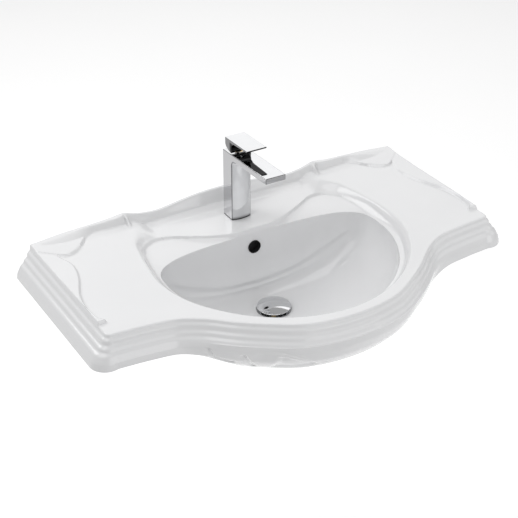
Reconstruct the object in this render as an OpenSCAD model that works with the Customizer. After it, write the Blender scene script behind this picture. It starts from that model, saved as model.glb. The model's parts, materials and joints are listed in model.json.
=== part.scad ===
// Bow-front vanity washbasin: one ceramic casting, its single-lever mixer tap and its push-button waste.
// Origin: midpoint between the two wall-bolt holes, on the wall plane. +Z up, -Y towards the user.

/* [Basin] */
// Overall width at the foot of the skirt
basin_w = 850; // [800:5:900]
// Height of the side decks above the wall bolts
deck_z = 70; // [66:1:74]
// Depth of the tap ledge below the side decks
ledge_drop = 12; // [10:0.5:14]
// Depth of the bowl floor below the side decks
bowl_depth = 148.5; // [146:0.5:150]
// Ceramic left under the bowl floor
floor_t = 15.5; // [14:0.5:18]

/* [Wall fixing] */
// Distance between the two wall-bolt holes
bolt_gap = 280; // [270:5:290]
// Diameter of each wall-bolt hole
bolt_hole_d = 16; // [12:0.5:18]

/* [Tap] */
// Distance of the tap's axis from the wall
tap_y = 67; // [66:0.5:70]
// Diameter of the tap hole in the ledge
tap_hole_d = 33; // [32:0.5:34]
// Width of the tap body and of its spout
tap_w = 41.4; // [40:0.2:44]
// Reach of the spout in front of the tap's axis
spout_reach = 141.5; // [130:0.5:150]
// Diameter of the ceramic-disc cartridge
cartridge_d = 25; // [25:0.1:25.4]

/* [Waste] */
// Distance of the drain's axis from the wall
drain_y = 204; // [203:0.5:206]
// Diameter of the waste hole through the ceramic
waste_hole_d = 46; // [45:0.5:47]
// Outside diameter of the waste's G 1 1/4 thread
waste_thread_d = 41.9; // [41.5:0.1:42]
// Diameter of the dome plug
dome_d = 65; // [63:0.5:66]
// Travel of the plug between open and shut
plug_travel = 5; // [4:0.5:5]

/* [Hidden] */
$fn = 64;

// Basin plan, all heights measured from the side decks
skirt_out = 31;                 // how far the foot of the skirt stands out beyond the deck at the sides
bow_out = 20;                   // the same at the front
half_w = basin_w / 2 - skirt_out;
wing_y = 329;                   // depth of the side decks
corner_r = 9;
centre_y = 221.5;               // the bowl's plan is measured around this point
skirt_h = 58;
panel_h = 104;                  // height of the back panel that carries the wall bolts
wall_t = 10;
deck_t = 15;
// Front edge of the deck: x, depth from the wall
FRONT = [[-50, 477], [0, 481.5], [50, 477], [100, 461.5], [148, 432.5], [189, 402.5], [230, 367],
         [271, 344], [328, 334], [385, 329]];
// Ring step and ridge around the bowl: bearing, radius
RING = [[-90, 232], [-60, 234], [-26, 232], [-10, 237], [5, 239], [15, 243], [24, 246], [32, 246], [37, 240],
        [41, 228], [44, 209], [47, 175], [52, 141], [60, 115], [72, 97.5], [90, 93.5]];
RIDGE = [[-90, 241], [-60, 239], [-38, 240], [-20, 245], [0, 249], [12, 249], [24, 257], [32, 266],
         [40, 271], [48, 295], [55, 354], [90, 492]];
// Top of the upstand along the wall: x, height
BACK_TOP = [[0, 19.5], [40, 18.5], [84, 13.8], [137, 6.4], [172, 9], [195, 14.5], [208, 18.3],
            [236, 15.2], [276, 13], [336, 10.5], [400, 4]];
// Scalloped edge of the raised corner: x, depth from the wall
DRAPE = [[276, 0], [290, 14], [298, 27], [310, 42], [323, 56], [336, 64], [347, 66.5], [358, 62],
         [371, 51], [384, 39], [398, 25]];
// Inner edge of the raised side band: depth from the wall, x
SIDE_BAND = [[0, 368], [64, 362], [91, 353], [116, 353], [148, 361], [175, 372], [198, 381], [231, 388],
             [258, 388], [281, 385], [292, 376], [300, 372]];
BACK_X = [0, 14, 28, 45, 75, 110, 145, 175, 200, 225, 265, 310, 355];
SIDE_Y = [0, 25, 50, 80, 110, 145, 180, 220, 255, 285, 298, 308];
FRONT_X = [375, 350, 320, 295, 275, 258, 243, 229, 214, 199, 182, 164, 145, 125, 104, 82, 60, 40, 20];

// Bowl
opening_z = -21;
open_a = 224.5;
open_back = 91.5;
open_front = 223.5;
flange_seat_r = 33.5;
bore_r = waste_hole_d / 2 - 1;
under_z = -bowl_depth - floor_t;
overflow_z = -50.5;
overflow_d = 26;
channel_r = 8;

// Tap heights, measured from the ledge
body_top = 138.5;
top_rise = 0.049;               // the spout's top climbs this much per millimetre of reach
pivot_h = 127;
seat_h = 100;
body_back = 17;
body_front = 15.5;
front_bulge = 4;                // the column's front face is an arc standing this far out at its middle
stud_y = 9;
inlet_x = 8;
inlet_y = 4;
aerator_y = spout_reach - 15;
aerator_top = 141;
ledge_t = 13;
seal_t = 1.2;
chamber_r = cartridge_d / 2 + 0.3;
port_x = 6.2;
port_y = 2.8;
disc_back = 2.62;               // the moving disc's offset when the tap is shut
front_r = (tap_w ^ 2 / 4 + front_bulge ^ 2) / (2 * front_bulge);
front_c = front_r - body_front - front_bulge;
// Spout underside: depth, height
SPOUT_UNDER = [[-spout_reach, 134.3], [-aerator_y, 132.8], [-97, 131], [-40, 128.5]];
// Lever side view, from the top of its back round the underside to the tip: depth, height
LEVER = [[7.5, 166.4], [7, 153], [4.5, 148.5], [-4, 144], [-15, 141.5], [-17, 146], [-15.5, 152], [-17, 158],
         [-24, 163], [-73.8, 167.6], [-73.8, 170.3]];

// Waste heights, measured from the side decks
recess_t = 3.5;
shut_rim = -147.7;
dome_rim = shut_rim + plug_travel;
dome_h = 6.7;
dome_t = 2;
boss_z = -186;
stem_foot = boss_z + plug_travel;

function smooth(t) = let(c = min(1, max(0, t))) c * c * (3 - 2 * c);
function span_of(nodes, x, i = 0) = i >= len(nodes) - 2 || x < nodes[i + 1][0] ? i : span_of(nodes, x, i + 1);
function slope_at(nodes, i) = let(a = max(i - 1, 0), b = min(i + 1, len(nodes) - 1))
    (nodes[b][1] - nodes[a][1]) / (nodes[b][0] - nodes[a][0]);
// Smooth curve through nodes, held level beyond its ends
function curve(nodes, at) = let(
    x = min(max(at, nodes[0][0]), nodes[len(nodes) - 1][0]),
    i = span_of(nodes, x), h = nodes[i + 1][0] - nodes[i][0], t = (x - nodes[i][0]) / h)
    (2 * t ^ 3 - 3 * t ^ 2 + 1) * nodes[i][1] + (t ^ 3 - 2 * t ^ 2 + t) * h * slope_at(nodes, i)
    + (3 * t ^ 2 - 2 * t ^ 3) * nodes[i + 1][1] + (t ^ 3 - t ^ 2) * h * slope_at(nodes, i + 1);
function front_y(x) = -curve(FRONT, abs(x));
function super_r(th, a, b, p) = ((abs(cos(th)) / a) ^ p + (abs(sin(th)) / b) ^ p) ^ (-1 / p);
function open_r(th) =
    sin(th) > 0 ? super_r(th, open_a, open_back, 3.5) : super_r(th, open_a, open_front, 1.88);
function bearing(x, y) = atan2(y + centre_y, x);

// Height of the deck at a point of the plan
function deck_h(x, y) = let(
    ax = abs(x), r = norm([x, y + centre_y]), th = bearing(x, y), fold = asin(min(1, max(-1, sin(th)))),
    ra = curve(RIDGE, fold), rb = curve(RING, fold), rc = open_r(th),
    fall = min(max(ra - rb, 15 + 6 * smooth((fold + 20) / 25)), 50),
    drop = ledge_drop * smooth((ra - r) / fall) + 4.5 * smooth((rb + 3 - r) / 6)
        + 4.5 * min(1, max(0, (rb - r) / max(rb - rc, 4))),
    slope = 10 + (ax > 276 ? 0.62 * curve(DRAPE, ax) : 0),
    face = 0.82 * (1 - smooth((-y - 5) / slope)) + 0.18 * (1 - smooth((-y - 12) / 24)),
    upstand = -drop + (curve(BACK_TOP, ax) + drop) * face,
    inside = curve(DRAPE, ax) + y,
    corner = ax < 276 ? -99 : -drop + (drop + 4 + 0.05 * min(60, max(0, inside))) * smooth((inside + 1) / 4),
    band_end = 292 + 4 * min(1, max(0, (ax - 374) / 22)),
    band = -drop + (drop + 3 + 4 * smooth((-y - 70) / 200)) * smooth((ax - curve(SIDE_BAND, -y) + 1.5) / 6)
        * smooth((y + band_end + 2) / 4))
    max(upstand, corner, band);

// Half of the plan outline, from the wall round to the front: x, y, normal x, normal y, edge
// (0 wall, 1 side, 2 corner, 3 front)
function front_point(x) = let(s = (front_y(x + 1) - front_y(x - 1)) / 2, n = [s, -1] / norm([s, -1]))
    [x, front_y(x), n[0], n[1], 3];
half_plan = concat(
    [for (x = BACK_X) [x, 0, 0, 0, 0]],
    [[half_w, 0, 0, 0, 0]],
    [for (y = SIDE_Y) [half_w, -y, 1, 0, 1]],
    [for (a = [0, -30, -60, -90])
        [half_w - corner_r + corner_r * cos(a), -wing_y + corner_r + corner_r * sin(a), cos(a), sin(a), 2]],
    [for (x = FRONT_X) front_point(x)]);
plan = concat(half_plan, [front_point(0)],
    [for (i = [len(half_plan) - 1:-1:1]) let(p = half_plan[i]) [-p[0], p[1], -p[2], p[3], p[4]]]);
M = len(plan);

// A point d outside the outline at height z; along the wall the line only grows sideways
function out_scale(p) = let(k = skirt_out / bow_out) p[4] == 1 ? k : p[4] == 2 ? 1 + (k - 1) * abs(p[2]) : 1;
function outset(p, d, z) = p[4] == 0
    ? [p[0] * (half_w + d * skirt_out / bow_out) / half_w, 0, z]
    : [p[0] + p[2] * d * out_scale(p), p[1] + p[3] * d * out_scale(p), z];
function inset(p, d, z) = p[4] == 0
    ? [p[0] * (half_w + d) / half_w, -wall_t - 4, z]
    : let(q = [p[0] + p[2] * d, p[1] + p[3] * d]) [q[0], min(q[1], -wall_t - 4), z];
function opening(p) = let(th = bearing(p[0], p[1]), r = open_r(th)) [r * cos(th), r * sin(th) - centre_y];
function drain_ring(p, r) = let(th = bearing(p[0], p[1])) [r * cos(th), r * sin(th) - drain_y];
function quarter(from, to, z0, z1, a, p) = let(
    u = cos(a) ^ (2 / p), v = sin(a) ^ (2 / p), q = to + (from - to) * u)
    [q[0], q[1], z0 + (z1 - z0) * v];
function mix(a, b, t) = a + (b - a) * t;

// The back panel reaches lower between the wall bolts
function foot_z(p) = p[4] == 0 ? -skirt_h - (panel_h - skirt_h) * smooth((225 - abs(p[0])) / 40) : -skirt_h;
function bow_share(p) = p[4] == 3 ? smooth((285 - abs(p[0])) / 95) : 0;
// The overflow channel thickens the middle of the bowl's back
function shell_t(p) = wall_t + (p[4] == 0 ? 19 * smooth((62 - abs(p[0])) / 36) : 0);
function shell_top(p) = let(th = bearing(p[0], p[1]), r = open_r(th) + shell_t(p))
    [r * cos(th), r * sin(th) - centre_y];

DECK_STEPS = [0.02, 0.06, 0.11, 0.17, 0.25, 0.35, 0.47, 0.58, 0.69, 0.78, 0.85, 0.9, 0.94, 0.975, 1];
// Mouldings under the deck edge: outset, height
MOULDINGS = [[0.5, -6], [3.5, -8.5], [4.5, -11], [5, -18.5],
             [8.5, -21], [9.5, -23], [10, -28], [13.5, -30.5]];
BOWL_ANGLES = [0, 10, 20, 30, 41, 52, 62, 71, 79, 85, 90];

function inner_ring(a) = [for (p = plan)
    quarter(opening(p), drain_ring(p, flange_seat_r), opening_z, -bowl_depth, a, 2.1)];
function deck_ring(f) = [for (p = plan) let(q = mix(opening(p), [p[0], p[1]], f))
    [q[0], q[1], deck_h(q[0], q[1])]];
function belly(p, a) = let(top = outset(p, 16.5, 0))
    quarter([top[0], top[1]], drain_ring(p, flange_seat_r + wall_t), -35.5, under_z, a, 2);
function shell(p, a) = quarter(shell_top(p), drain_ring(p, flange_seat_r + shell_t(p)), -30, under_z, a, 2.1);
// The underside follows the deck, one thickness below it
function under_deck(p, f) = let(q = mix([p[0], p[1]], shell_top(p), f), y = min(q[1], -wall_t - 4))
    [q[0], y, min(deck_h(q[0], y), 1) - deck_t];
// Underside, from the lowest moulding to the waste hole: the open hollow, and the belly at the bow
function under(p) = let(b = bow_share(p), z = foot_z(p), dz = z + skirt_h) [
    mix(outset(p, 18, -46 + dz / 2), belly(p, 8), b),
    mix(outset(p, 20, z), belly(p, 16), b),
    mix(inset(p, 12, z), belly(p, 24), b),
    mix(inset(p, 6, -40), belly(p, 31), b),
    mix(inset(p, -7, -22), belly(p, 36), b),
    mix(under_deck(p, 0.25), belly(p, 40), b),
    mix(under_deck(p, 0.55), belly(p, 45), b),
    mix(under_deck(p, 0.88), belly(p, 50), b),
    for (a = [14, 30, 45, 58, 70, 81, 90]) mix(shell(p, a), belly(p, 50 + (a - 7) * 40 / 83), b)];
under_cols = [for (p = plan) under(p)];

rings = concat(
    [[for (p = plan) let(q = drain_ring(p, bore_r)) [q[0], q[1], -bowl_depth]]],
    [for (i = [len(BOWL_ANGLES) - 1:-1:0]) inner_ring(BOWL_ANGLES[i])],
    [for (f = DECK_STEPS) deck_ring(f)],
    [for (m = MOULDINGS) [for (p = plan) outset(p, m[0], m[1])]],
    [for (j = [0:len(under_cols[0]) - 1]) [for (i = [0:M - 1]) under_cols[i][j]]],
    [[for (p = plan) let(q = drain_ring(p, bore_r)) [q[0], q[1], under_z]]]);
R = len(rings);

module casting() {
    polyhedron(
        points = [for (ring = rings) each ring],
        faces = [for (j = [0:R - 1], i = [0:M - 1])
            let(k = (i + 1) % M, up = ((j + 1) % R) * M, a = j * M + i, b = j * M + k, c = up + i, d = up + k)
            each [[a, b, d], [a, d, c]]],
        convexity = 12);
}

module along(a, b, r) {
    v = b - a;
    translate(a) rotate([0, acos(v[2] / norm(v)), atan2(v[1], v[0])]) cylinder(r = r, h = norm(v));
}

module basin() {
    color("white") translate([0, 0, deck_z]) difference() {
        casting();
        // Flat seat under the ledge for the tap's clamp
        translate([0, -tap_y, -ledge_drop - ledge_t - 20]) cylinder(r = 28, h = 20);
        // Tap hole
        translate([0, -tap_y, -60]) cylinder(d = tap_hole_d, h = 60);
        // Waste hole and the recess for its flange
        translate([0, -drain_y, under_z - 20]) cylinder(d = waste_hole_d, h = floor_t + 40);
        translate([0, -drain_y, -bowl_depth - recess_t]) cylinder(r = flange_seat_r - 0.5, h = 20);
        // Wall bolts
        for (s = [-1, 1]) translate([s * bolt_gap / 2, 1, -deck_z]) rotate([90, 0, 0])
            cylinder(d = bolt_hole_d, h = 30);
        // Overflow hole and the channel down to the waste
        translate([0, -142, overflow_z]) rotate([-90, 0, 0]) cylinder(d = overflow_d, h = 24);
        along([0, -119.5, overflow_z], [0, -133.5, -118], channel_r);
        along([0, -133.5, -118], [0, -drain_y, under_z + 7], channel_r - 2);
    }
}

// The tap, on its own axis from the top of the ledge
module on_ledge() translate([0, -tap_y, deck_z - ledge_drop]) children();
// A side view (depth, height) drawn out across the width w
module across(w) rotate([90, 0, 90]) translate([0, 0, -w / 2]) linear_extrude(w) children();
module ring_at(r, hole_r, z0, z1) difference() {
    translate([0, 0, z0]) cylinder(r = r, h = z1 - z0);
    translate([0, 0, z0 - 1]) cylinder(r = hole_r, h = z1 - z0 + 2);
}
// The column's plan, shrunk by g all round
module column(g, z0, z1) intersection() {
    translate([-tap_w / 2 + g, -body_front - front_bulge - 1, z0])
        cube([tap_w - 2 * g, body_front + front_bulge + 1 + body_back - g, z1 - z0]);
    translate([0, front_c, z0]) cylinder(r = front_r - g, h = z1 - z0, $fn = 240);
}

module tap_body() color("silver") on_ledge() difference() {
    union() {
        column(0, seal_t, 128.6);
        across(tap_w) polygon(concat(
            [[body_back, 124], [body_back, body_top - top_rise * body_back],
             [-spout_reach, body_top + top_rise * spout_reach]],
            SPOUT_UNDER, [[-body_front, 128.5], [-body_front, 124]]));
        // Rounded corner between the column's front and the spout's underside
        intersection() {
            translate([-tap_w / 2, -40, 116.5]) cube([tap_w, 30, 12.5]);
            translate([0, front_c, 0]) rotate_extrude($fn = 240) polygon(concat(
                [[front_r - 3, 128.8], [front_r - 3, 116.5]],
                [for (a = [0:9:90]) [front_r + 12 - 12 * cos(a), 116.5 + 12 * sin(a)]],
                [[front_r + 12, 128.8]]));
        }
    }
    // Cartridge chamber, with a groove that collects the mixed water and a counterbore for the ring nut
    translate([0, 0, seat_h]) cylinder(r = chamber_r, h = 60);
    translate([0, 0, 109]) cylinder(r = chamber_r + 1, h = 16.5);
    translate([0, 0, 128]) cylinder(r = 14.2, h = 30);
    // Inlets
    for (s = [-1, 1]) {
        translate([s * inlet_x, -inlet_y, 0]) cylinder(r = 4.55, h = seal_t + 22);
        translate([s * port_x, -port_y, 18]) cylinder(r = 2.2, h = seat_h - 13);
    }
    // Fixing stud
    translate([0, stud_y, 0]) cylinder(r = 4, h = 12.2);
    // Outlet to the spout's end
    along([0, -11, 122], [0, -36, 135.4], 2.6);
    along([0, -34, 135], [0, -aerator_y, 138.4], 3.2);
    translate([0, -aerator_y, 120]) cylinder(r = 9.25, h = aerator_top - 120);
}

module tap_base_seal() color("dimgray") on_ledge() difference() {
    column(0.6, 0, seal_t);
    translate([0, stud_y, -1]) cylinder(r = 4.6, h = 4);
    for (s = [-1, 1]) translate([s * inlet_x, -inlet_y, -1]) cylinder(r = 6, h = 4);
}

module mounting_stud() color("silver") on_ledge() translate([0, stud_y, -75]) {
    cylinder(r = 3.98, h = 87);
    translate([0, 0, -1]) cylinder(r1 = 3, r2 = 3.98, h = 1);
}

// A clamp plate under the ledge, open towards the front for the supply hoses
module clamp_plate(r, z0, z1) difference() {
    translate([0, 0, z0]) cylinder(r = r, h = z1 - z0);
    translate([-14, -r - 2, z0 - 1]) cube([28, r + 3.5, z1 - z0 + 2]);
    translate([0, stud_y, z0 - 1]) cylinder(r = 4.2, h = z1 - z0 + 2);
}
module clamp_gasket() color("dimgray") on_ledge() clamp_plate(25.5, -ledge_t - 2, -ledge_t);
module clamp_washer() color("silver") on_ledge() clamp_plate(26, -ledge_t - 5, -ledge_t - 2);
module clamp_nut() color("goldenrod") on_ledge() translate([0, stud_y, -ledge_t - 11.5]) difference() {
    cylinder(r = 7.5, h = 6.5, $fn = 6);
    translate([0, 0, -1]) cylinder(r = 4, h = 9);
}

module cartridge_housing() color("whitesmoke") on_ledge() difference() {
    translate([0, 0, seat_h + 1]) cylinder(r = cartridge_d / 2, h = 27);
    translate([0, 0, seat_h + 4]) cylinder(r = 10.5, h = 30);
    for (s = [-1, 1]) translate([s * port_x, -port_y, seat_h]) cylinder(r = 2.5, h = 6);
    for (a = [45:90:315]) translate([0, 0, 113.5]) rotate([0, 90, a]) cylinder(r = 2, h = 20);
}

module cartridge_seals() color("dimgray") on_ledge()
    for (s = [-1, 1]) translate([s * port_x, -port_y, 0]) ring_at(3.8, 2.6, seat_h, seat_h + 1);

module fixed_disc() color("lightgray") on_ledge() difference() {
    translate([0, 0, seat_h + 4]) cylinder(r = 10.45, h = 3);
    for (s = [-1, 1]) translate([s * 4.4, -0.8, seat_h + 3]) cylinder(r = 2.2, h = 6);
}

module moving_disc() color("lightgray") on_ledge() translate([0, disc_back, seat_h + 7.05]) difference() {
    cylinder(r = 7.6, h = 2.95);
    translate([0, 2.2, -1]) cylinder(r = 2.6, h = 6);
}

module disc_coupler() color("whitesmoke") on_ledge() translate([0, disc_back, seat_h + 10]) difference() {
    cylinder(r = 7, h = 6.4);
    translate([0, 0, 0.6]) cylinder(r = 2.6, h = 10);
    translate([0, 5.4, -1]) cylinder(r = 1.5, h = 10);
}

module swivel_carrier() color("whitesmoke") on_ledge() difference() {
    union() {
        translate([0, 0, 118]) cylinder(r = 10.43, h = 9.9);
        translate([0, 0, 127]) cylinder(r = 9.1, h = 10.4);
    }
    translate([-3.1, -4.4, 100]) cube([6.2, 12.1, 50]);
    translate([-12, 0, pivot_h]) rotate([0, 90, 0]) cylinder(r = 1.5, h = 24);
}

module pivot_pin() color("silver") on_ledge() translate([-8.5, 0, pivot_h]) rotate([0, 90, 0])
    cylinder(r = 1.49, h = 17);

module cartridge_nut() color("silver") on_ledge() difference() {
    ring_at(14.15, 9.15, 128.05, 137);
    // Four spanner notches
    for (a = [0:90:270]) rotate([0, 0, a]) translate([11.6, -1.5, 134.5]) cube([4, 3, 4]);
}

module lever_spindle() color("silver") on_ledge() difference() {
    union() {
        translate([-3, -3, 124]) cube([6, 6, 34]);
        along([0, 0, pivot_h], [0, disc_back, 113.5], 1.8);
        translate([0, disc_back, 113.5]) sphere(r = 2.5, $fn = 32);
    }
    translate([-5, 0, pivot_h]) rotate([0, 90, 0]) cylinder(r = 1.53, h = 10);
}

module lever_handle() color("silver") on_ledge() difference() {
    across(tap_w) polygon(LEVER);
    translate([-3.05, -3.05, 130]) cube([6.1, 6.1, 28.1]);
    translate([0, 2, 155]) rotate([-90, 0, 0]) cylinder(r = 2.5, h = 10);
}

module lever_screw() color("dimgray") on_ledge() translate([0, 3.02, 155]) rotate([-90, 0, 0]) difference() {
    cylinder(r = 2.48, h = 3.9);
    translate([0, 0, 2]) cylinder(r = 1.4, h = 4, $fn = 6);
}

module aerator_washer() color("dimgray") on_ledge() translate([0, -aerator_y, 0])
    ring_at(9.2, 5.5, aerator_top - 1.2, aerator_top);

module aerator_insert() color("whitesmoke") on_ledge() translate([0, -aerator_y, 133.6]) difference() {
    cylinder(r = 7.42, h = 6.2);
    for (ring = [[0, 1], [2.5, 6], [5, 12]], i = [0:ring[1] - 1])
        rotate([0, 0, i * 360 / ring[1]]) translate([ring[0], 0, -1]) cylinder(r = 0.75, h = 9, $fn = 12);
}

module aerator_housing() color("silver") on_ledge() translate([0, -aerator_y, 0]) difference() {
    ring_at(9.2, 6.3, 132.4, aerator_top - 1.2);
    translate([0, 0, 133.6]) cylinder(r = 7.5, h = 10);
}

// The waste, on the drain's axis from the height of the side decks
module on_drain() translate([0, -drain_y, deck_z]) children();

module waste_body() color("silver") on_drain() {
    flange_z = -bowl_depth - recess_t + 1;
    tube_r = waste_thread_d / 2;
    difference() {
        union() {
            translate([0, 0, flange_z]) cylinder(r = 31.5, h = 2.5);
            // Threaded tail for the trap, a relief groove, and the threaded tube that takes the nut
            translate([0, 0, -235]) cylinder(r = tube_r, h = 49);
            translate([0, 0, -187]) cylinder(r = tube_r - 0.95, h = 5);
            translate([0, 0, -183]) cylinder(r = tube_r, h = 183 + flange_z + 1);
        }
        translate([0, 0, -236]) cylinder(r = 18.5, h = 100);
        // Overflow windows
        for (a = [0:90:270]) rotate([0, 0, a]) translate([15, -5, -163]) cube([10, 10, 8]);
    }
    // Spider that carries the click housing
    difference() {
        union() {
            translate([0, 0, boss_z - 10]) cylinder(r = 10, h = 10);
            intersection() {
                translate([0, 0, boss_z - 10]) cylinder(r = 19.5, h = 10);
                for (a = [45, 135]) rotate([0, 0, a]) translate([-25, -2, boss_z - 9]) cube([50, 4, 8]);
            }
        }
        translate([0, 0, boss_z - 12]) cylinder(r = 8, h = 14);
    }
}

module flange_seal() color("dimgray") on_drain()
    ring_at(31.5, 23.2, -bowl_depth - recess_t, -bowl_depth - recess_t + 1);
module lower_gasket() color("dimgray") on_drain() ring_at(30, waste_thread_d / 2 + 0.1, under_z - 6, under_z);
module slip_washer() color("whitesmoke") on_drain()
    ring_at(29.5, waste_thread_d / 2 + 0.2, under_z - 8, under_z - 6);
module waste_nut() color("silver") on_drain() difference() {
    union() {
        translate([0, 0, under_z - 18]) cylinder(r = 29, h = 10);
        for (a = [0:45:315]) rotate([0, 0, a]) translate([26, -3, under_z - 18]) cube([5, 6, 10]);
    }
    translate([0, 0, under_z - 19]) cylinder(r = waste_thread_d / 2 + 0.05, h = 12);
}

module click_housing() color("whitesmoke") on_drain() difference() {
    union() {
        translate([0, 0, boss_z - 20]) cylinder(r = 7.95, h = 36);
        translate([0, 0, boss_z]) cylinder(r = 9.8, h = 3);
    }
    translate([0, 0, boss_z - 18]) cylinder(r = 6.6, h = 32);
    translate([0, 0, boss_z]) cylinder(r = 4.06, h = 30);
}

module click_spring() {
    turns = 5; per = 16; sec = 6; n = turns * per; low = boss_z - 17.3; high = stem_foot - 0.7;
    pts = [for (i = [0:n], k = [0:sec - 1]) let(a = i * 360 / per, b = k * 360 / sec, r = 5.4 + 0.6 * cos(b))
        [r * cos(a), r * sin(a), low + (high - low) * i / n + 0.6 * sin(b)]];
    color("gray") on_drain() polyhedron(points = pts, faces = concat(
        [for (i = [0:n - 1], k = [0:sec - 1]) let(a = i * sec + k, b = i * sec + (k + 1) % sec)
            each [[a, a + sec, b + sec], [a, b + sec, b]]],
        [[for (k = [0:sec - 1]) k]], [[for (k = [sec - 1:-1:0]) n * sec + k]]), convexity = 10);
}

module plug_stem() color("silver") on_drain() {
    translate([0, 0, stem_foot]) cylinder(r = 6.55, h = 3);
    translate([0, 0, stem_foot + 1]) cylinder(r = 4.01, h = dome_rim + dome_h - dome_t - 0.1 - stem_foot - 1);
}

module plug_dome() color("silver") on_drain() {
    cap_r = (dome_d ^ 2 / 4 + (dome_h - 1) ^ 2) / (2 * (dome_h - 1));
    top = dome_rim + dome_h;
    difference() {
        intersection() {
            translate([0, 0, top - cap_r]) sphere(r = cap_r, $fn = 240);
            translate([0, 0, dome_rim]) cylinder(d = dome_d, h = dome_h + 5, $fn = 96);
        }
        intersection() {
            translate([0, 0, top - cap_r]) sphere(r = cap_r - dome_t, $fn = 240);
            translate([0, 0, dome_rim - 5]) cylinder(r = dome_d / 2 - 1.5, h = dome_h + 5, $fn = 96);
        }
    }
}

module plug_seal() color("dimgray") on_drain() translate([0, 0, -142.3]) rotate_extrude()
    translate([22, 0]) circle(r = 1.2, $fn = 24);

basin();
tap_body();
tap_base_seal();
mounting_stud();
clamp_gasket();
clamp_washer();
clamp_nut();
cartridge_housing();
cartridge_seals();
fixed_disc();
moving_disc();
disc_coupler();
swivel_carrier();
pivot_pin();
cartridge_nut();
lever_spindle();
lever_handle();
lever_screw();
aerator_washer();
aerator_insert();
aerator_housing();
waste_body();
flange_seal();
lower_gasket();
slip_washer();
waste_nut();
click_housing();
click_spring();
plug_stem();
plug_dome();
plug_seal();
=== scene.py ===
import json
import math

import bmesh
import bpy
import numpy as np
from mathutils import Matrix, Vector


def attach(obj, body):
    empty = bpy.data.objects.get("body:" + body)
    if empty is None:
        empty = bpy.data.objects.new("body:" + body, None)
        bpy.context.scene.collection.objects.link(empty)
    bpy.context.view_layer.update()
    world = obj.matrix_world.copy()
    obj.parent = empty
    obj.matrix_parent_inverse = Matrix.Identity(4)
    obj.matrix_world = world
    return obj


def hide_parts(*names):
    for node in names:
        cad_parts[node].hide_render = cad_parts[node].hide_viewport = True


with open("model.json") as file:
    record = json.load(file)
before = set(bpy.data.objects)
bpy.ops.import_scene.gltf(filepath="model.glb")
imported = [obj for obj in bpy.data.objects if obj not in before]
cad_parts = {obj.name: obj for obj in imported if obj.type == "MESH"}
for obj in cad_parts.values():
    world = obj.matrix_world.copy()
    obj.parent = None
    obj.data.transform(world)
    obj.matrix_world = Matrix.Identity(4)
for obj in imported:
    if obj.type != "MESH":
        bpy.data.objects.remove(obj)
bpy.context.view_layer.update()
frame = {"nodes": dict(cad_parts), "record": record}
nodes = frame["nodes"]

MM = 0.001
DECK = 70.0                       # height of the side decks above the wall bolts, mm
ROUND = 64                        # sides of a bored or turned circle
CREASE, GLAZE_CREASE = 28, 38     # a face angle above this (degrees) stays sharp: fittings, ceramic


# ---------------------------------------------------------------- materials
def new_material(name):
    m = bpy.data.materials.new(name)
    m.use_nodes = True
    t = m.node_tree
    return m, t, t.nodes["Principled BSDF"]


def link(t, a, out, b, inp):
    t.links.new(a.outputs[out], b.inputs[inp])


def noise(t, scale, detail, stretch=None):
    """Noise over the object's own space, which stretch scales along each axis."""
    n = t.nodes.new("ShaderNodeTexNoise")
    n.inputs["Scale"].default_value = scale
    n.inputs["Detail"].default_value = detail
    source, out = t.nodes.new("ShaderNodeTexCoord"), "Object"
    if stretch:
        mapping = t.nodes.new("ShaderNodeMapping")
        mapping.inputs["Scale"].default_value = stretch
        link(t, source, out, mapping, "Vector")
        source, out = mapping, "Vector"
    link(t, source, out, n, "Vector")
    return n


def tint(t, n, bsdf, lo, hi):
    """Base colour that drifts from lo to hi with the noise n."""
    r = t.nodes.new("ShaderNodeValToRGB")
    for stop, position, color in zip(r.color_ramp.elements, (0.3, 0.7), (lo, hi)):
        stop.position = position
        stop.color = (*color, 1)
    link(t, n, "Fac", r, "Fac")
    link(t, r, "Color", bsdf, "Base Color")


def gloss(t, n, bsdf, lo, hi):
    """Roughness that drifts from lo to hi with the noise n."""
    m = t.nodes.new("ShaderNodeMapRange")
    m.inputs["To Min"].default_value = lo
    m.inputs["To Max"].default_value = hi
    link(t, n, "Fac", m, "Value")
    link(t, m, "Result", bsdf, "Roughness")


def bump(t, n, bsdf, strength, distance):
    b = t.nodes.new("ShaderNodeBump")
    b.inputs["Strength"].default_value = strength
    b.inputs["Distance"].default_value = distance
    link(t, n, "Fac", b, "Height")
    link(t, b, "Normal", bsdf, "Normal")


def glaze():
    m, t, p = new_material("glazed_ceramic")
    tint(t, noise(t, 9.0, 2.0), p, (0.785, 0.788, 0.797), (0.805, 0.807, 0.815))
    fine = noise(t, 34.0, 2.0)
    gloss(t, fine, p, 0.10, 0.16)
    bump(t, fine, p, 0.02, 0.0006)
    p.inputs["IOR"].default_value = 1.5
    p.inputs["Coat Weight"].default_value = 0.35
    p.inputs["Coat Roughness"].default_value = 0.03
    return m


def metal(name, color, rough, spread, scale, dents=0.0, stretch=None):
    m, t, p = new_material(name)
    p.inputs["Metallic"].default_value = 1.0
    n = noise(t, scale, 4.0, stretch)
    tint(t, n, p, tuple(c * 0.97 for c in color), color)
    gloss(t, n, p, rough, rough + spread)
    if dents:
        bump(t, n, p, dents, 0.0003)
    return m


def plastic(name, color, rough):
    m, t, p = new_material(name)
    n = noise(t, 120.0, 3.0)
    tint(t, n, p, tuple(c * 0.94 for c in color), color)
    gloss(t, n, p, rough, rough + 0.12)
    bump(t, n, p, 0.12, 0.0002)
    return m


def polished(name):
    return metal(name, (0.74, 0.745, 0.755), 0.025, 0.03, 60.0)


def maths(t, op, a, b=0.0):
    q = t.nodes.new("ShaderNodeMath")
    q.operation = op
    for k, v in enumerate((a, b)):
        if isinstance(v, (int, float)):
            q.inputs[k].default_value = v
        else:
            t.links.new(v, q.inputs[k])
    return q.outputs[0]


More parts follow.
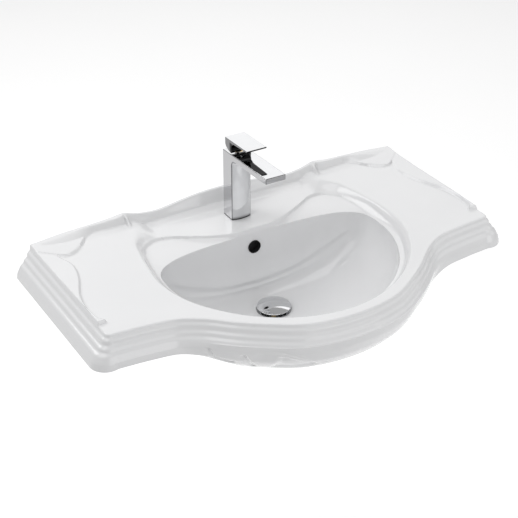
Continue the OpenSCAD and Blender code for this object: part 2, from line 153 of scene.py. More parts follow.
def fade(t, v, lo, hi, to_lo=0.0, to_hi=1.0):
    """A smooth step: to_lo where v is at lo, to_hi where it is at hi."""
    q = t.nodes.new("ShaderNodeMapRange")
    q.interpolation_type = "SMOOTHSTEP"
    t.links.new(v, q.inputs["Value"])
    for name, val in (("From Min", lo), ("From Max", hi), ("To Min", to_lo), ("To Max", to_hi)):
        q.inputs[name].default_value = val
    return q.outputs["Result"]


def painted_shade_chrome(name, shades):
    """Polished chrome with painted shade and painted reflections: shades(t, point, normal) gives (amount,
    tone) pairs.
    """
    m = polished(name)
    t = m.node_tree
    p = t.nodes["Principled BSDF"]
    color = p.inputs["Base Color"].links[0].from_socket
    c = t.nodes.new("ShaderNodeTexCoord")
    at, facing = t.nodes.new("ShaderNodeSeparateXYZ"), t.nodes.new("ShaderNodeSeparateXYZ")
    link(t, c, "Object", at, "Vector")
    link(t, c, "Normal", facing, "Vector")
    # Each pair mixes the chrome toward a flat tone where it faces or stands: painted shade and painted
    # reflection
    for amount, tone in shades(t, at.outputs, facing.outputs):
        blend = t.nodes.new("ShaderNodeMix")
        blend.data_type = "RGBA"
        t.links.new(amount, blend.inputs["Factor"])
        t.links.new(color, blend.inputs[6])
        blend.inputs[7].default_value = (tone, tone, tone * 1.02, 1)
        color = blend.outputs[2]
    t.links.new(color, p.inputs["Base Color"])
    return m


def lever_painted_shade(t, at, facing):
    """Painted reflections and painted shade: grey on the lever's sides; nearly black on its neck, underside
    and front edge.
    """
    side = fade(t, maths(t, "ABSOLUTE", facing["X"]), 0.4, 0.8)
    front = fade(t, facing["Y"], -0.25, -0.5)
    down = fade(t, facing["Z"], -0.15, -0.5)
    neck = maths(t, "MULTIPLY", fade(t, at["Y"], -0.0755, -0.0780), fade(t, at["Z"], 0.2215, 0.2190))
    dark = maths(t, "MAXIMUM", maths(t, "MAXIMUM", front, down), neck)
    return [(side, 0.3), (dark, 0.025)]


def body_painted_shade(t, at, facing):
    """Painted reflections and painted shade: greyer sides and spout tip; dark front edges; a dark foot above
    the seal.
    """
    front = fade(t, facing["Y"], -0.3, -0.5)
    up = fade(t, facing["Z"], 0.3, 0.5)
    across = fade(t, maths(t, "ABSOLUTE", facing["X"]), 0.35, 0.55)
    edge = maths(t, "MULTIPLY", front, maths(t, "MAXIMUM", up, maths(t, "MULTIPLY", across, 0.7)))
    side = fade(t, maths(t, "ABSOLUTE", facing["X"]), 0.6, 0.9)
    tip = maths(t, "MULTIPLY", front, fade(t, at["Y"], -0.2050, -0.2060))
    foot = maths(t, "MULTIPLY", front, fade(t, at["Z"], 0.0665, 0.0585))
    return [(side, 0.62), (tip, 0.42), (edge, 0.06), (foot, 0.12)]


MATS = {
    "ceramic": glaze(),
    "chrome": polished("polished_chrome"),
    "waste_chrome": metal("waste_chrome", (0.80, 0.805, 0.815), 0.05, 0.04, 60.0),
    "steel": metal("zinc_steel", (0.62, 0.62, 0.63), 0.28, 0.14, 90.0, 0.05, (1, 1, 14)),
    "brass": metal("machined_brass", (0.78, 0.60, 0.33), 0.22, 0.12, 160.0, 0.06, (1, 1, 10)),
    "rubber": plastic("black_rubber", (0.03, 0.03, 0.032), 0.62),
    "cartridge_plastic": plastic("white_acetal", (0.78, 0.78, 0.75), 0.36),
    "aerator_plastic": plastic("grey_acetal", (0.55, 0.57, 0.6), 0.4),
    "valve_ceramic": plastic("lapped_alumina", (0.83, 0.80, 0.72), 0.18),
}
for sub in frame["record"]["subparts"]:
    ob = nodes[sub["node"]]
    ob.data.materials.clear()
    ob.data.materials.append(MATS[sub["material_slot"]])

# Nodes whose chrome carries painted shade and painted reflections
PAINTED_SHADE_NODES = {"lever_handle": painted_shade_chrome("lever_chrome_painted_shade", lever_painted_shade),
         "tap_body": painted_shade_chrome("tap_chrome_painted_shade", body_painted_shade)}


def add_mesh(name, verts, faces, slot):
    me = bpy.data.meshes.new(name)
    me.from_pydata([tuple(v) for v in verts], [], [tuple(int(i) for i in f) for f in faces])
    me.update()
    ob = bpy.data.objects.new(name, me)
    bpy.context.scene.collection.objects.link(ob)
    me.materials.append(MATS[slot])
    me.shade_smooth()
    return ob


def apply_modifiers(ob):
    dg = bpy.context.evaluated_depsgraph_get()
    me = bpy.data.meshes.new_from_object(ob.evaluated_get(dg))
    ob.modifiers.clear()
    old = ob.data
    ob.data = me
    bpy.data.meshes.remove(old)


# ---------------------------------------------------------------- basin shape, in mm above the side decks
SKIRT_OUT, BOW_OUT = 31.0, 20.0   # how far the mouldings stand out at the sides and on the bow
SIDE_SCALE = SKIRT_OUT / BOW_OUT
HALF_W, WING_Y, CORNER_R, CENTRE_Y = 394.0, 329.0, 9.0, 221.5
SKIRT_H, PANEL_H, WALL_T, DECK_T = 58.0, 104.0, 10.0, 15.0
LEDGE, RIM_STEP = 12.0, 4.5       # falls of the deck: from the ridge to the ledge, and twice at the rim
BRINK = 2.4                       # where the rounding of the deck's edge begins, in from the edge
# Front edge: distance from the middle, distance from the wall
FRONT = [(-50, 477), (0, 481.5), (50, 477), (100, 461.5), (148, 432.5), (189, 402.5), (230, 367),
         (271, 344), (328, 334), (385, 329)]
# Round the bowl: bearing from the side (degrees), radius of the rim's outer edge and of the ridge
RING = [(-90, 232), (-60, 234), (-26, 232), (-10, 237), (5, 239), (15, 243), (24, 246), (32, 246),
        (37, 240), (41, 228), (44, 209), (47, 175), (52, 141), (60, 115), (72, 97.5), (90, 93.5)]
RIDGE = [(-90, 241), (-60, 239), (-38, 240), (-20, 245), (0, 249), (12, 249), (24, 257), (32, 266),
         (40, 271), (48, 295), (55, 354), (90, 492)]
# Upstand along the wall: distance from the middle, height
BACK_TOP = [(0, 19.5), (40, 18.5), (84, 13.8), (137, 6.4), (172, 9), (195, 14.5), (208, 18.3),
            (236, 15.2), (276, 13), (336, 10.5), (400, 4)]
# Raised corner: distance from the middle, distance of its edge from the wall
DRAPE_X = 276
DRAPE = [(DRAPE_X, 0), (290, 14), (298, 27), (310, 42), (323, 56), (336, 64), (347, 66.5), (358, 62),
         (371, 51), (384, 39), (398, 25)]
# Raised side band: distance from the wall, distance of its edge from the middle
SIDE_BAND = [(0, 368), (64, 362), (91, 353), (116, 353), (148, 361), (175, 372), (198, 381), (231, 388),
             (258, 388), (281, 385), (292, 376), (300, 372)]
OPEN_Z, OPEN_A, OPEN_BACK, OPEN_FRONT = -21.0, 224.5, 91.5, 223.5
BACK_POWER, FRONT_POWER = 3.5, 1.88
FLOOR, UNDER = -148.5, -164.0     # bowl's floor and the underside below it
DRAIN_Y, SEAT_R, HOLE_R = 204.0, 33.5, 23.0
BELLY_OUT, BELLY_TOP = 16.5, -35.5
HEART = np.array([0, -215, -30.0])    # the reliefs are pressed toward this point or away from it


def smooth(t):
    t = np.clip(t, 0, 1)
    return t * t * (3 - 2 * t)


def curve(pts, at):
    """Smooth curve through the points, level beyond its ends."""
    p = np.array(pts, float)
    x = np.clip(np.asarray(at, float), p[0, 0], p[-1, 0])
    i = np.clip(np.searchsorted(p[:, 0], x, side="right") - 1, 0, len(p) - 2)
    a, b = np.maximum(np.arange(len(p)) - 1, 0), np.minimum(np.arange(len(p)) + 1, len(p) - 1)
    s = (p[b, 1] - p[a, 1]) / (p[b, 0] - p[a, 0])
    h = p[i + 1, 0] - p[i, 0]
    t = (x - p[i, 0]) / h
    return ((2 * t**3 - 3 * t**2 + 1) * p[i, 1] + (t**3 - 2 * t**2 + t) * h * s[i]
            + (3 * t**2 - 2 * t**3) * p[i + 1, 1] + (t**3 - t**2) * h * s[i + 1])


def front_y(x):
    return -curve(FRONT, np.abs(x))


def open_r(th):
    """Radius of the bowl's opening at a bearing."""
    c, s = np.abs(np.cos(th)), np.abs(np.sin(th))
    back = ((c / OPEN_A) ** BACK_POWER + (s / OPEN_BACK) ** BACK_POWER) ** (-1 / BACK_POWER)
    front = ((c / OPEN_A) ** FRONT_POWER + (s / OPEN_FRONT) ** FRONT_POWER) ** (-1 / FRONT_POWER)
    return np.where(np.sin(th) > 0, back, front)


def deck_h(x, y):
    """Height of the deck at a point of the plan."""
    ax, r, th = np.abs(x), np.hypot(x, y + CENTRE_Y), np.arctan2(y + CENTRE_Y, x)
    turn = np.degrees(np.arcsin(np.clip(np.sin(th), -1, 1)))
    ra, rb, rc = curve(RIDGE, turn), curve(RING, turn), open_r(th)
    fall = np.minimum(np.maximum(ra - rb, 15 + 6 * smooth((turn + 20) / 25)), 50)
    drop = (LEDGE * smooth((ra - r) / fall) + RIM_STEP * smooth((rb + 3 - r) / 6)
            + RIM_STEP * np.clip((rb - r) / np.maximum(rb - rc, 4), 0, 1))
    # The upstand's face stands forward in a scroll outside each knot, with a narrow hollow beside it
    scroll = 4.5 * smooth((ax - 210) / 3) * (1 - smooth((ax - 216) / 70))
    hollow = smooth((ax - 201) / 3) * (1 - smooth((ax - 208) / 3))
    slope = 10 + 22 * hollow + 0.62 * np.where(ax > DRAPE_X, curve(DRAPE, ax), 0)
    face = (0.82 * (1 - smooth((-y - 5 - scroll + 4 * hollow) / slope))
            + 0.18 * (1 - smooth((-y - 12 - scroll) / 24)))
    up = -drop + (curve(BACK_TOP, ax) + drop) * face
    inside = curve(DRAPE, ax) + y
    rise = drop + 4 + 0.05 * np.clip(inside, 0, 60)
    corner = np.where(ax < DRAPE_X, -99.0, -drop + rise * smooth((inside + 1) / 4))
    end = 292 + 4 * np.clip((ax - 374) / 22, 0, 1)
    rise = drop + 3 + 4 * smooth((-y - 70) / 200)
    past = smooth((ax - curve(SIDE_BAND, -y) + 1.5) / 6)
    band = -drop + (rise * past * smooth((y + end + 1) / 2.4))
    return np.maximum(np.maximum(up, corner), band)


# Which stretch of the outline a point lies on
ON_WALL, ON_SIDE, ON_CORNER, ON_FRONT = 0, 1, 2, 3


def half_plan():
    """Outline from the wall's middle round to the front's middle: x, y, normal x, normal y, stretch."""
    rows = [(x, 0.0, 0.0, 0.0, ON_WALL) for x in np.arange(0, HALF_W - 0.5, 2.4)]
    rows.append((HALF_W, 0.0, 0.0, 0.0, ON_WALL))
    rows += [(HALF_W, -y, 1.0, 0.0, ON_SIDE) for y in np.linspace(0, WING_Y - CORNER_R - 2, 130)]
    for a in np.radians(np.linspace(0, -85.5, 14)):
        x = HALF_W - CORNER_R + CORNER_R * math.cos(a)
        y = -WING_Y + CORNER_R + CORNER_R * math.sin(a)
        rows.append((x, y, math.cos(a), math.sin(a), ON_CORNER))
    for x in np.arange(383, 0.5, -2.0):
        s = float(front_y(x + 1) - front_y(x - 1)) / 2
        n = math.hypot(s, 1)
        rows.append((x, float(front_y(x)), s / n, -1 / n, ON_FRONT))
    return np.array(rows)


right = half_plan()
left = right[1:][::-1] * np.array([-1, 1, -1, 1, 1])
plan = np.vstack([right, [[0, float(front_y(0)), 0, -1, ON_FRONT]], left])
px, py, pnx, pny, stretch = plan.T
M = len(plan)
wall = stretch == ON_WALL
at_corner = 1 + (SIDE_SCALE - 1) * np.abs(pnx)
out_scale = np.where(stretch == ON_SIDE, SIDE_SCALE, np.where(stretch == ON_CORNER, at_corner, 1.0))
bearing = np.arctan2(py + CENTRE_Y, px)


def level(x, y, z):
    """A ring at one height, or at a height for each of its points."""
    return np.stack([x, y, np.broadcast_to(z, (M,)).astype(float)], 1)


def outset(d, z):
    """The outline moved out by d on the bow, and in proportion at the sides."""
    x = np.where(wall, px * (HALF_W + d * SIDE_SCALE) / HALF_W, px + pnx * d * out_scale)
    y = np.where(wall, 0.0, py + pny * d * out_scale)
    return level(x, y, z)


def inset(d, z):
    """The skirt's inner face: the outline moved by d, and clear of the back panel."""
    x = np.where(wall, px * (HALF_W + d) / HALF_W, px + pnx * d)
    y = np.where(wall, -WALL_T - 4, np.minimum(py + pny * d, -WALL_T - 4))
    return level(x, y, z)


def round_point(r, y):
    """Plan points at radius r on every bearing, round a centre y from the wall."""
    return np.stack([r * np.cos(bearing), r * np.sin(bearing) - y], 1)


def drain_ring(r):
    return round_point(np.broadcast_to(r, (M,)), DRAIN_Y)


def quarter(a_xy, b_xy, z0, z1, deg, p):
    """The ring at deg on a quarter of a superellipse from plan a at height z0 to plan b at z1."""
    a = math.radians(deg)
    u, v = max(math.cos(a), 0.0) ** (2 / p), max(math.sin(a), 0.0) ** (2 / p)
    q = b_xy + (a_xy - b_xy) * u
    return np.column_stack([q, np.full(M, z0 + (z1 - z0) * v)])


def mix(a, b, t):
    t = np.asarray(t)
    t = t[:, None] if t.ndim else t
    return a + (b - a) * t


# The foot is level at the sides, and the back panel hangs lower in the middle
foot_z = np.where(wall, -SKIRT_H - (PANEL_H - SKIRT_H) * smooth((225 - np.abs(px)) / 40), -SKIRT_H)
# 1 on the bow, where the belly curves back under, to 0 where the skirt goes down
bow = np.where(stretch == ON_FRONT, smooth((285 - np.abs(px)) / 95), 0.0)
# The bowl's wall is thicker behind, where the overflow's channel runs
shell_t = WALL_T + np.where(wall, 19 * smooth((62 - np.abs(px)) / 36), 0.0)
opening = round_point(open_r(bearing), CENTRE_Y)
shell_top = round_point(open_r(bearing) + shell_t, CENTRE_Y)

# Mouldings under the deck edge: outset, height
PROFILE = [(-2.4, 0.0), (-1.2, -0.25), (-0.3, -0.9), (0.25, -2.0), (0.5, -3.2), (0.6, -5.0), (1.0, -6.2),
           (1.6, -7.2), (2.4, -8.2), (3.2, -9.2), (3.9, -10.4), (4.35, -11.8), (4.6, -13.5), (4.85, -16.5),
           (5.3, -18.2), (6.0, -19.4), (6.8, -20.4), (7.7, -21.4), (8.6, -22.6), (9.2, -24.0), (9.6, -25.6),
           (9.9, -27.2), (10.5, -28.7), (11.3, -29.8), (12.2, -30.8), (13.2, -31.9), (14.1, -33.2),
           (14.8, -34.8), (15.4, -36.6), (16.4, -40.0), (18.6, -46.0)]


def belly(deg):
    top = outset(BELLY_OUT, 0.0)[:, :2]
    return quarter(top, drain_ring(SEAT_R + WALL_T), BELLY_TOP, UNDER, deg, 2)


def shell(deg):
    return quarter(shell_top, drain_ring(SEAT_R + shell_t), -30, UNDER, deg, 2.1)


def under_deck(f):
    q = mix(np.stack([px, py], 1), shell_top, f)
    y = np.minimum(q[:, 1], -WALL_T - 4)
    return np.column_stack([q[:, 0], y, np.minimum(deck_h(q[:, 0], y), 1) - DECK_T])


# Relief under the bow: grooves (distance along the bow, height) and the leaf's edge, which stands proud
GROOVES = [[(-238, -45), (-234, -58), (-224, -73), (-203, -84), (-196, -85)],
           [(-187, -62), (-178, -77), (-168, -92), (-160, -100)]]
LEAF_EDGE = [(-178, -51), (-160, -48.5), (-140, -50), (-124, -55), (-107, -62), (-89, -72), (-73, -79),
             (-50, -82)]


def inward(ring):
    """Directions from a ring's points to the heart of the basin."""
    to_heart = HEART - ring
    return to_heart / np.linalg.norm(to_heart, axis=1)[:, None]


def relief(ring):
    """The ring with the grooves and the ground round the leaf pressed into it."""
    x, y, z = ring.T
    depth = np.zeros(len(x))
    for g in GROOVES:
        near = np.full(len(x), 1e9)
        for (x0, z0), (x1, z1) in zip(g[:-1], g[1:]):
            dx, dz = x1 - x0, z1 - z0
            t = np.clip(((x - x0) * dx + (z - z0) * dz) / (dx ** 2 + dz ** 2), 0, 1)
            near = np.minimum(near, np.hypot(x - x0 - t * dx, z - z0 - t * dz))
        depth += 4.4 * np.exp(-(near / 2.8) ** 2)
    below = curve(LEAF_EDGE, x) - z
    along = smooth((x + 180) / 22) * smooth((-48 - x) / 16)
    depth += 3.6 * smooth((below + 1) / 4) * (1 - smooth((below - 3) / 30)) * along
    inner = smooth((x + 142) / 14) * smooth((-62 - x) / 14)
    depth += 5.0 * smooth((below - 8) / 8) * smooth((z + 108) / 16) * inner
    depth *= smooth((-y - 330) / 30)
    return ring + inward(ring) * depth[:, None]


def curve_rings(keys):
    """Rings between successive key rings, on a smooth curve through them, straight along the wall."""
    k = np.array(keys)
    out = []
    for i in range(len(k) - 1):
        a, b = k[max(i - 1, 0)], k[min(i + 2, len(k) - 1)]
        m0, m1 = (k[i + 1] - a) / 2, (b - k[i]) / 2
        # The first stretches carry the relief, so they are finer
        n = 12 if i < 6 else 3
        for t in np.arange(n) / n:
            ring = relief((2 * t**3 - 3 * t**2 + 1) * k[i] + (t**3 - 2 * t**2 + t) * m0
                          + (3 * t**2 - 2 * t**3) * k[i + 1] + (t**3 - t**2) * m1)
            ring[wall] = (k[i] + (k[i + 1] - k[i]) * t)[wall]
            out.append(ring)
    out.append(k[-1])
    return out


# Fold across the back of the bowl, where its wall turns into the floor: distance from the middle, height
FOLD = [(0, -119), (50, -115), (90, -108), (135, -92), (165, -77), (190, -61), (205, -51)]
# Section through the fold: distance above it, how far it stands proud
FOLD_LIP = [(-76, 0), (-50, -1.2), (-30, -2.7), (-22, -1.8), (-16, 0.4), (-11, -0.4), (-7, -0.9), (-3, 0.9),
            (0, 2.5), (4, 2.7), (14, 1.6), (30, 0.5), (50, 0)]


def bowl_fold(ring):
    """The ring with the fold raised on it, fading out toward the sides and the front."""
    x, y, z = ring.T
    ends = (1 - smooth((np.abs(x) - 178) / 32)) * smooth((y + 212) / 34)
    above = z - curve(FOLD, np.abs(x))
    above = above / np.where(above < 0, 0.65 + 0.5 * smooth((np.abs(x) - 60) / 110), 1.0)
    proud = curve(FOLD_LIP, above)
    proud = np.where(proud < 0, proud * (1 - 0.75 * smooth((np.abs(x) - 125) / 50)), proud)
    return ring + inward(ring) * (proud * ends)[:, None]


def basin_rings():
    """Every ring of the ceramic, from the drain hole up the bowl, over the deck and back underneath."""
    # Waste flange's seat
    rings = [np.column_stack([drain_ring(r), np.full(M, FLOOR - deep)])
             for r, deep in ((HOLE_R, 3.4), (33.0, 3.4), (33.0, 0.9), (33.6, 0.1))]
    for a in list(np.linspace(88, 70, 24)) + list(np.linspace(69.4, 0, 110)):
        rings.append(bowl_fold(quarter(opening, drain_ring(SEAT_R + 1.5), OPEN_Z, FLOOR, a, 2.1)))
    # Deck, up to where the rounding of its edge begins
    brink = np.stack([np.where(wall, px * (HALF_W - BRINK) / HALF_W, px - BRINK * pnx),
                      np.where(wall, -BRINK / 2, np.minimum(py - BRINK * pny, -BRINK / 2))], 1)
    steps = [np.linspace(0.008, 0.2, 34), np.linspace(0.21, 0.78, 46), np.linspace(0.79, 0.992, 50)]
    for f in np.concatenate(steps):
        q = mix(opening, brink, f)
        rings.append(np.column_stack([q, deck_h(q[:, 0], q[:, 1])]))
    # Edge and mouldings: the deck's own height fades out down the first fall
    for d, z in PROFILE:
        o = outset(max(d, 0.0), 0.0)
        if d < 0:
            o[:, 0] = np.where(wall, px * (HALF_W + d) / HALF_W, px + pnx * d)
            o[:, 1] = np.where(wall, d * 0.5, np.minimum(py + pny * d, d * 0.5))
        edge_x = np.where(wall, o[:, 0], px + pnx * min(d, 0))
        edge_y = np.where(wall, 0.0, py + pny * min(d, 0))
        o[:, 2] = z + deck_h(edge_x, edge_y) * max(0.0, 1 + z / 5.2)
        if d > 16.3:
            o = mix(o, belly((d - 16.0) * 2.1), bow)
        rings.append(o)
    # Skirt, hollow and shell at the sides, each with the belly's angle that takes its place on the bow
    under = [(rings[-1], 8), (outset(19.9, foot_z + 1.2), 16), (outset(18.6, foot_z), 20),
             (inset(13.5, foot_z), 25), (inset(12, foot_z + 1.5), 28), (inset(6, -40), 33),
             (inset(-7, -22), 36), (under_deck(0.25), 40), (under_deck(0.55), 45), (under_deck(0.88), 50)]
    under += [(shell(a), 50 + (a - 7) * 40 / 83) for a in (14, 30, 45, 58, 70, 81, 90)]
    rings += curve_rings([mix(side, belly(deg), bow) for side, deg in under])[1:]
    rings.append(np.column_stack([drain_ring(HOLE_R), np.full(M, UNDER)]))
    return rings


def loft(rings):
    """Quads between successive rings, the last ring joined back to the first."""
    count = len(rings)
    here, ring = np.meshgrid(np.arange(M), np.arange(count), indexing="xy")
    after, below = (here + 1) % M, (ring + 1) % count
    quads = [ring * M + here, ring * M + after, below * M + after, below * M + here]
    return np.stack(quads, -1).reshape(-1, 4)


rings = np.array(basin_rings())
rings[:, :, 1] = np.minimum(rings[:, :, 1], 0.0)
# The belly's foremost stretch is drawn in by up to 2.5 mm, to the depth of the solid one
rings[:, :, 1] += 2.5 * smooth((-rings[:, :, 1] - 468) / 30)
verts = rings.reshape(-1, 3).copy()
verts[:, 2] += DECK
basin = add_mesh("basin_glazed", verts * MM, loft(rings), "ceramic")


def cutter(name, r, p0, p1):
    """A round bar between two points (mm), used only to cut."""
    p0, p1 = Vector(p0) * MM, Vector(p1) * MM
    along = p1 - p0
    bm = bmesh.new()
    bmesh.ops.create_cone(bm, cap_ends=True, segments=ROUND, radius1=r * MM, radius2=r * MM,
                          depth=along.length)
    me = bpy.data.meshes.new(name)
    bm.to_mesh(me)
    bm.free()
    ob = bpy.data.objects.new(name, me)
    turn = along.to_track_quat("Z", "Y").to_matrix().to_4x4()
    ob.matrix_world = Matrix.Translation((p0 + p1) / 2) @ turn
    bpy.context.scene.collection.objects.link(ob)
    return ob


def cut(ob, cutters):
    for k in cutters:
        m = ob.modifiers.new("cut", "BOOLEAN")
        m.operation, m.solver, m.object = "DIFFERENCE", "EXACT", k
    apply_modifiers(ob)
    for k in cutters:
        me = k.data
        bpy.data.objects.remove(k)
        bpy.data.meshes.remove(me)


OVERFLOW_Z = DECK - 50.5
cut(basin, [
    cutter("tap_hole", 16.5, (0, -67, DECK - 60), (0, -67, DECK)),
    cutter("overflow", 13.0, (0, -142, OVERFLOW_Z), (0, -119, OVERFLOW_Z)),
    cutter("wall_bolt_l", 8.0, (-140, 2, 0), (-140, -30, 0)),
    cutter("wall_bolt_r", 8.0, (140, 2, 0), (140, -30, 0)),
])
basin.data.shade_smooth()
basin.data.set_sharp_from_angle(angle=math.radians(GLAZE_CREASE))


def turned(name, profile, slot, place):
    """A closed turned shape from (radius, height) pairs in mm, about its own Z."""
    v, f = [], []
    k = len(profile)
    for i in range(ROUND):
        c, s = math.cos(2 * math.pi * i / ROUND), math.sin(2 * math.pi * i / ROUND)
        v += [(r * c * MM, r * s * MM, z * MM) for r, z in profile]
        here, there = i * k, (i + 1) % ROUND * k
        for j in range(k):
            up = (j + 1) % k
            f.append((here + j, there + j, there + up, here + up))
    ob = add_mesh(name, v, f, slot)
    ob.data.set_sharp_from_angle(angle=math.radians(CREASE))
    ob.matrix_world = place
    return ob


# The overflow's throat: a near-black cup in the hole through the back of the bowl, painted shade for the deep
# channel behind it
THROAT = [(12.9, 2.4), (12.9, 15), (0.01, 15), (0.01, 14), (12.0, 14), (12.2, 2.6)]
throat_at = Matrix.Translation(Vector((0, -135.5, OVERFLOW_Z)) * MM) @ Matrix.Rotation(-math.pi / 2, 4, "X")
throat = turned("overflow_throat", THROAT, "ceramic", throat_at)
# Near-black: painted shade inside the hole
throat.data.materials[0] = plastic("throat_painted_shade", (0.012, 0.012, 0.013), 0.8)
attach(throat, "basin_and_fittings")
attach(basin, "basin_and_fittings")
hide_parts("basin")


# ---------------------------------------------------------------- fittings: a node's own shape, edges rounded
WELD, FLAT, HARD = 2e-6, 0.3, 32.0    # metres between welded points; degrees of a seam and of a hard edge


def is_hard(e):
    return len(e.link_faces) == 2 and e.calc_face_angle(0) > math.radians(HARD)


def soften(node, width, keep):
    """A copy of a node's shape with the hard edges that keep() picks rounded by width (mm)."""
    src = nodes[node]
    bm = bmesh.new()
    bm.from_mesh(src.data)
    bm.transform(src.matrix_world)
    bmesh.ops.remove_doubles(bm, verts=bm.verts, dist=WELD)
    bmesh.ops.dissolve_limit(bm, angle_limit=math.radians(FLAT), verts=bm.verts, edges=bm.edges)
    edges = [e for e in bm.edges if is_hard(e) and keep(e)]
    if edges:
        bmesh.ops.bevel(bm, geom=edges, offset=width * MM, segments=3, profile=0.5, affect="EDGES",
                        clamp_overlap=False)
    me = bpy.data.meshes.new(node + "_finished")
    bm.to_mesh(me)
    bm.free()
    # The tap body and lever take chrome with painted shade and painted reflections
    me.materials.append(PAINTED_SHADE_NODES.get(node, src.data.materials[0]))
    me.shade_smooth()
    me.set_sharp_from_angle(angle=math.radians(CREASE))
    ob = bpy.data.objects.new(node + "_finished", me)
    bpy.context.scene.collection.objects.link(ob)
    # Flat faces keep flat reflections beside their rounded edges
    flat = ob.modifiers.new("flat_faces", "WEIGHTED_NORMAL")
    flat.mode = "FACE_AREA"
    flat.weight = 100
    flat.keep_sharp = True
    apply_modifiers(ob)
    return ob


BODY_OF = {n: b for b, ns in frame["record"]["behaviour"]["bodies"].items() for n in ns}
TAP = Vector((0, -67, 58)) * MM
SPOUT_REACH, CARTRIDGE_TOP = 0.1265, 0.09     # metres from the tap's foot, forward and up


def outside_holes(e):
    """True for an edge of the tap's outer form, away from its bored holes."""
    m = (e.verts[0].co + e.verts[1].co) / 2 - TAP
    r = math.hypot(m.x, m.y) / MM
    if r < 14.3 or r < 14.6 and m.z > CARTRIDGE_TOP:
        return False
    return math.hypot(m.x, m.y + SPOUT_REACH) / MM > 9.6


def every_edge(e):
    return True


# Width of the rounding in mm
SOFT = {"tap_body": 1.6, "lever_handle": 0.8, "aerator_housing": 0.25, "cartridge_nut": 0.25,
        "lever_screw": 0.15, "clamp_washer": 0.3, "clamp_gasket": 0.3, "clamp_nut": 0.5,
        "cartridge_housing": 0.2, "swivel_carrier": 0.25, "disc_coupler": 0.2, "moving_disc": 0.1,
        "fixed_disc": 0.1, "waste_nut": 0.6, "slip_washer": 0.3, "lower_gasket": 0.6, "flange_seal": 0.2,
        "plug_dome": 0.5, "plug_stem": 0.3, "click_housing": 0.3, "mounting_stud": 0.3,
        "aerator_washer": 0.2}
OUTER_ONLY = ("tap_body", "lever_handle")
for node, width in SOFT.items():
    ob = soften(node, width, outside_holes if node in OUTER_ONLY else every_edge)
    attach(ob, BODY_OF[node])
    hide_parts(node)


# ---------------------------------------------------------------- camera, lights, floor
cam_data = bpy.data.cameras.new("camera")
cam_data.sensor_width = 36
cam_data.lens = 95.66
cam_data.clip_start, cam_data.clip_end = 0.1, 50
cam = bpy.data.objects.new("camera", cam_data)
bpy.context.scene.collection.objects.link(cam)
az, el = math.radians(-30.25), math.radians(31.36)
fw = Vector((-math.sin(az) * math.cos(el), math.cos(az) * math.cos(el), -math.sin(el)))
cam.location = (-1.1153, -2.0611, 1.3505)
cam.rotation_mode = "QUATERNION"
cam.rotation_quaternion = fw.to_track_quat("-Z", "Y")
bpy.context.scene.camera = cam
bpy.context.scene.view_settings.view_transform = "Standard"
bpy.context.scene.view_settings.look = "None"


def area(name, loc, target, size, power):
    """A rectangular lamp of size (m) and power (W) at loc, turned to its target."""
    d = bpy.data.lights.new(name, "AREA")
    d.shape, d.size, d.size_y = "RECTANGLE", size[0], size[1]
    d.energy = power
    o = bpy.data.objects.new(name, d)
    o.location = loc
    o.rotation_mode = "QUATERNION"
    o.rotation_quaternion = (Vector(target) - Vector(loc)).to_track_quat("-Z", "Y")
    bpy.context.scene.collection.objects.link(o)


area("key", (-1.7, 1.5, 2.1), (0, -0.2, 0), (1.8, 1.8), 28)
area("overhead", (-0.2, -0.5, 2.6), (0, -0.2, 0), (2.0, 2.0), 18)
area("back", (1.6, 2.9, 2.2), (0, -0.2, 0.1), (4.6, 2.6), 31)
area("right_fill", (2.6, -1.5, 0.9), (0, -0.2, 0), (2.4, 1.8), 9)
area("front_fill", (0.7, -3.1, 0.1), (0, -0.3, 0), (3.0, 1.3), 18)
area("left_fill", (-2.3, -1.0, 2.3), (0.3, -0.25, -0.1), (2.2, 2.2), 16)
world = bpy.data.worlds.new("studio")
bpy.context.scene.world = world
world.use_nodes = True
world.node_tree.nodes["Background"].inputs["Color"].default_value = (1, 1, 1, 1)
world.node_tree.nodes["Background"].inputs["Strength"].default_value = 0.39

FLOOR_Z = -0.78                   # the basin hangs at its installed height, its deck 850 mm up
FLOOR_SIZE = 9.0                  # metres from the middle to the floor's edge
AXIS_X, AXIS_Y = 0.504, 0.864     # level direction in which the white wedge opens
AXIS_OFF = 0.075                  # metres from the wall's middle to the wedge's axis


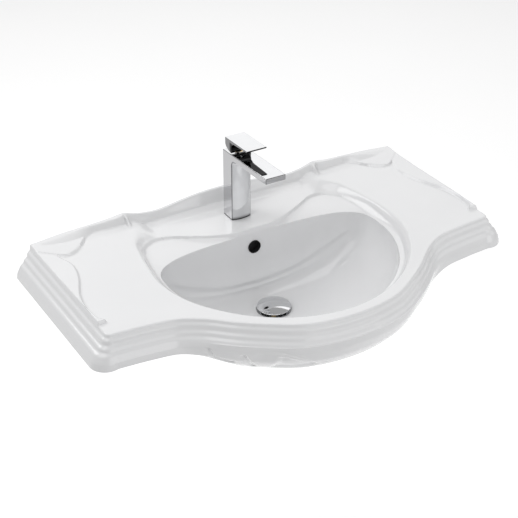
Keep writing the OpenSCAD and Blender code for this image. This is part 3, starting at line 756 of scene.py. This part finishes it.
def pale_floor():
    """White sheet behind the basin, a greyer floor in front and at the sides, which the chrome reflects:
    painted shade that throws less light back onto the basin's front. The floor glows faintly in its own tone,
    painted light.
    """
    m, t, p = new_material("pale_floor")
    tc = t.nodes.new("ShaderNodeTexCoord")
    xyz = t.nodes.new("ShaderNodeSeparateXYZ")
    link(t, tc, "Object", xyz, "Vector")
    x, y = xyz.outputs["X"], xyz.outputs["Y"]
    deep = maths(t, "ADD", maths(t, "MULTIPLY", x, AXIS_X), maths(t, "MULTIPLY", y, AXIS_Y))
    across = maths(t, "SUBTRACT", maths(t, "MULTIPLY", x, AXIS_Y), maths(t, "MULTIPLY", y, AXIS_X))
    side = maths(t, "ABSOLUTE", maths(t, "SUBTRACT", across, AXIS_OFF))
    half_width = maths(t, "MAXIMUM", maths(t, "ADD", maths(t, "MULTIPLY", deep, 0.16), 0.584), 0.3)
    spread = maths(t, "DIVIDE", side, half_width)
    white = maths(t, "MULTIPLY", fade(t, deep, -0.55, -0.06), fade(t, spread, 1.12, 1.7, 1.0, 0.0))
    grey = fade(t, deep, -0.9, 0.0, 0.57, 0.74)
    to_white = maths(t, "MULTIPLY", white, maths(t, "SUBTRACT", 0.95, grey))
    mottle = maths(t, "SUBTRACT", noise(t, 3.0, 2.0).outputs["Fac"], 0.5)
    shade = maths(t, "ADD", maths(t, "ADD", grey, to_white), maths(t, "MULTIPLY", mottle, 0.01))
    tone = t.nodes.new("ShaderNodeCombineColor")
    for k in ("Red", "Green", "Blue"):
        t.links.new(shade, tone.inputs[k])
    link(t, tone, "Color", p, "Base Color")
    link(t, tone, "Color", p, "Emission Color")
    # The floor glows faintly in its own tone: painted light
    p.inputs["Emission Strength"].default_value = 0.29
    p.inputs["Roughness"].default_value = 0.9
    p.inputs["Specular IOR Level"].default_value = 0.1
    return m


fl = bpy.data.meshes.new("floor")
corners = [(x * FLOOR_SIZE, y * FLOOR_SIZE, FLOOR_Z) for x, y in ((-1, -1), (1, -1), (1, 1), (-1, 1))]
fl.from_pydata(corners, [], [(0, 1, 2, 3)])
fl.materials.append(pale_floor())
floor = bpy.data.objects.new("floor", fl)
bpy.context.scene.collection.objects.link(floor)
